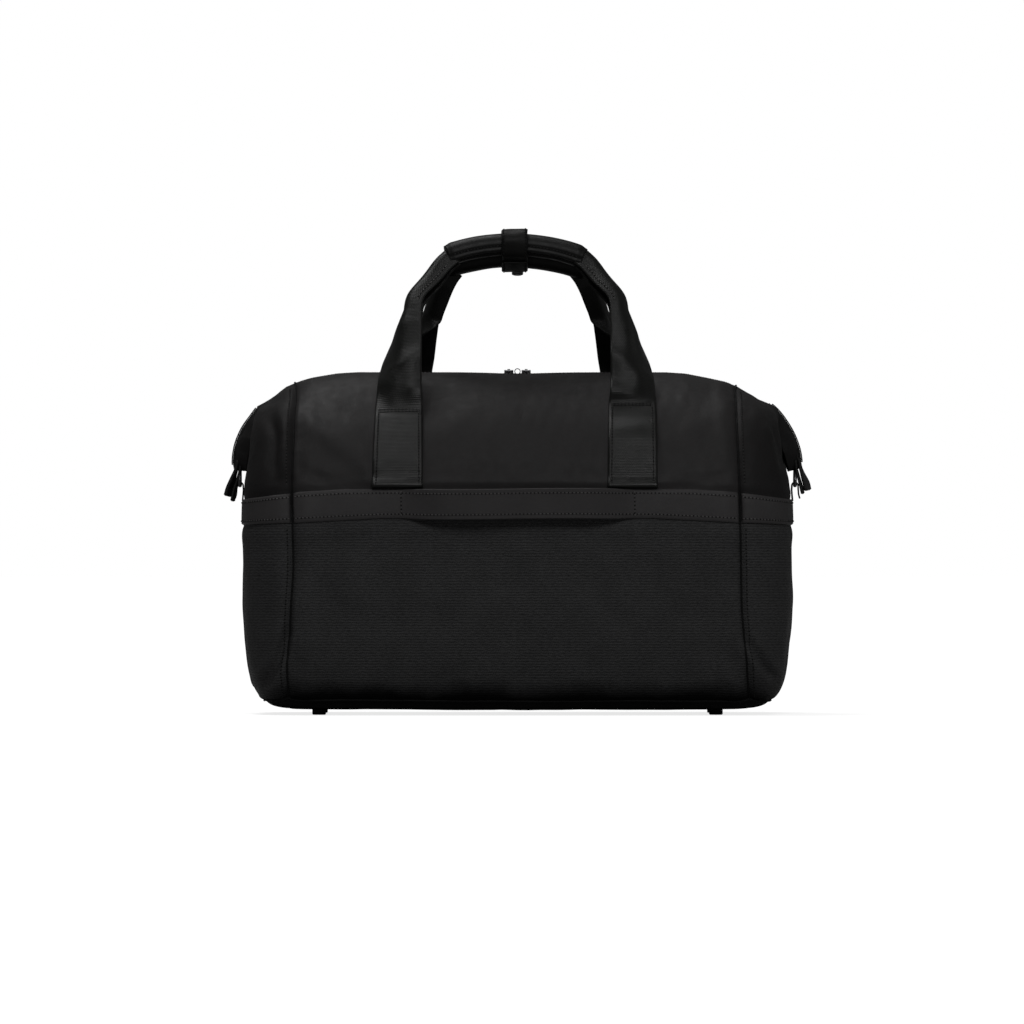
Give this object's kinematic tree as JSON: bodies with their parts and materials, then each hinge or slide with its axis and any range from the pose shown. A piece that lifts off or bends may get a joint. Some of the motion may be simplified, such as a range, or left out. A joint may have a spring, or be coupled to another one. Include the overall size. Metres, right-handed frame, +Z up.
{
  "type": "weekender bag",
  "caption": "Soft zip-top travel holdall with padded carry handles joined by a snap wrap, snapping end wings, a front zip pocket and a rear sleeve that slides over a trolley handle.",
  "frame": {"origin": "on the floor under the middle of the bag, at the bottom of its feet", "axes": "+Z up; +X along the bag to the right as seen from the back, the side with the trolley sleeve; +Y towards the front, the side with the zip pocket"},
  "size_m": [0.5096, 0.2594, 0.4221],
  "materials": {
    "lower_cloth": "ribbed matt nylon",
    "base_cloth": "coated matt cloth",
    "upper_cloth": "fine satin weave",
    "piping": "matt woven binding",
    "lining": "smooth lining cloth",
    "base_board": "matt board",
    "foot_rubber": "moulded rubber",
    "band_cloth": "fine satin weave",
    "zip_tape": "woven tape",
    "zip_coil": "moulded coil",
    "zip_metal": "dark satin plating",
    "webbing": "ribbed seat-belt weave",
    "grip_foam": "soft foam",
    "grip_cover": "smooth neoprene-like cloth",
    "wing_cloth": "fine satin weave",
    "ring_metal": "dark satin plating"
  },
  "bodies": {
    "bag": {"back_handle_sewn_ends": "webbing", "back_lower_panel": "lower_cloth", "back_upper_panel": "upper_cloth", "base_board": "base_board", "bottom_panel": "base_cloth", "feet": "foot_rubber", "front_handle_sewn_ends": "webbing", "front_lower_panel": "lower_cloth", "front_pocket_panel": "lower_cloth", "front_upper_panel": "upper_cloth", "front_waist_band": "band_cloth", "inside_pocket_panel": "lining", "inside_pocket_zip": "zip_coil", "left_d_ring_tab": "webbing", "left_lower_gusset": "lower_cloth", "left_upper_gusset": "upper_cloth", "left_waist_band": "band_cloth", "left_wing_snap_stud": "ring_metal", "lining": "lining", "luggage_sleeve_band": "band_cloth", "main_zip_coil_back": "zip_coil", "main_zip_coil_front": "zip_coil", "main_zip_tape_back": "zip_tape", "main_zip_tape_front": "zip_tape", "pocket_zip_coil_lower": "zip_coil", "pocket_zip_coil_upper": "zip_coil", "pocket_zip_tape_lower": "zip_tape", "pocket_zip_tape_upper": "zip_tape", "right_d_ring_tab": "webbing", "right_lower_gusset": "lower_cloth", "right_upper_gusset": "upper_cloth", "right_waist_band": "band_cloth", "right_wing_snap_stud": "ring_metal", "seam_piping": "piping"},
    "back_handle": {"back_handle_webbing": "webbing", "back_handle_grip_foam": "grip_foam", "back_handle_grip_cover": "grip_cover", "handle_wrap_base": "grip_cover"},
    "front_handle": {"front_handle_webbing": "webbing", "front_handle_grip_foam": "grip_foam", "front_handle_grip_cover": "grip_cover"},
    "wrap_flap": {"handle_wrap_flap": "grip_cover", "handle_wrap_snap_cap": "ring_metal"},
    "left_wing": {"left_wing": "wing_cloth", "left_wing_tab": "webbing", "left_wing_snap_socket": "ring_metal"},
    "right_wing": {"right_wing": "wing_cloth", "right_wing_tab": "webbing", "right_wing_snap_socket": "ring_metal"},
    "left_slider": {"main_slider_left": "zip_metal"},
    "right_slider": {"main_slider_right": "zip_metal"},
    "left_puller": {"main_puller_left": "zip_metal"},
    "right_puller": {"main_puller_right": "zip_metal"},
    "left_ring": {"left_d_ring": "ring_metal"},
    "right_ring": {"right_d_ring": "ring_metal"},
    "pocket_slider": {"pocket_slider": "zip_metal"},
    "pocket_puller": {"pocket_puller": "zip_metal"}
  },
  "joints": [
    {"name": "back_handle_swing", "type": "hinge", "parent": "bag", "child": "back_handle", "pos_m": [0, -0.077, 0.272], "axis": [1, 0, 0], "range_deg": [0, 150], "deforming": ["handle_wrap_flap", "handle_wrap_snap_cap"]},
    {"name": "front_handle_swing", "type": "hinge", "parent": "bag", "child": "front_handle", "pos_m": [0, 0.0843, 0.264], "axis": [-1, 0, 0], "range_deg": [0, 150], "deforming": ["handle_wrap_flap", "handle_wrap_snap_cap"]},
    {"name": "wrap_flap_open", "type": "hinge", "parent": "back_handle", "child": "wrap_flap", "pos_m": [0, 0.00065, 0.4187], "axis": [1, 0, 0], "range_deg": [0, 115]},
    {"name": "left_wing_open", "type": "hinge", "parent": "bag", "child": "left_wing", "pos_m": [-0.2286, 0, 0.269], "axis": [0, 1, 0], "range_deg": [0, 80]},
    {"name": "right_wing_open", "type": "hinge", "parent": "bag", "child": "right_wing", "pos_m": [0.2286, 0, 0.269], "axis": [0, -1, 0], "range_deg": [0, 80]},
    {"name": "left_slider_travel", "type": "slide", "parent": "bag", "child": "left_slider", "axis": [-1, 0, 0], "range_m": [0, 0.135]},
    {"name": "right_slider_travel", "type": "slide", "parent": "bag", "child": "right_slider", "axis": [1, 0, 0], "range_m": [0, 0.135]},
    {"name": "left_puller_lift", "type": "hinge", "parent": "left_slider", "child": "left_puller", "pos_m": [-0.0076, 0, 0.3004], "axis": [1, 0, 0], "range_deg": [0, 165]},
    {"name": "right_puller_lift", "type": "hinge", "parent": "right_slider", "child": "right_puller", "pos_m": [0.0076, 0, 0.3004], "axis": [1, 0, 0], "range_deg": [0, 165]},
    {"name": "left_ring_tilt", "type": "hinge", "parent": "bag", "child": "left_ring", "pos_m": [-0.2432, 0, 0.2], "axis": [0, -1, 0], "range_deg": [-10, 6]},
    {"name": "right_ring_tilt", "type": "hinge", "parent": "bag", "child": "right_ring", "pos_m": [0.2432, 0, 0.2], "axis": [0, 1, 0], "range_deg": [-10, 6]},
    {"name": "pocket_slider_travel", "type": "slide", "parent": "bag", "child": "pocket_slider", "axis": [1, 0, 0], "range_m": [0, 0.316]},
    {"name": "pocket_puller_lift", "type": "hinge", "parent": "pocket_slider", "child": "pocket_puller", "pos_m": [-0.158, 0.1231, 0.164], "axis": [1, 0, 0], "range_deg": [0, 150]}
  ]
}
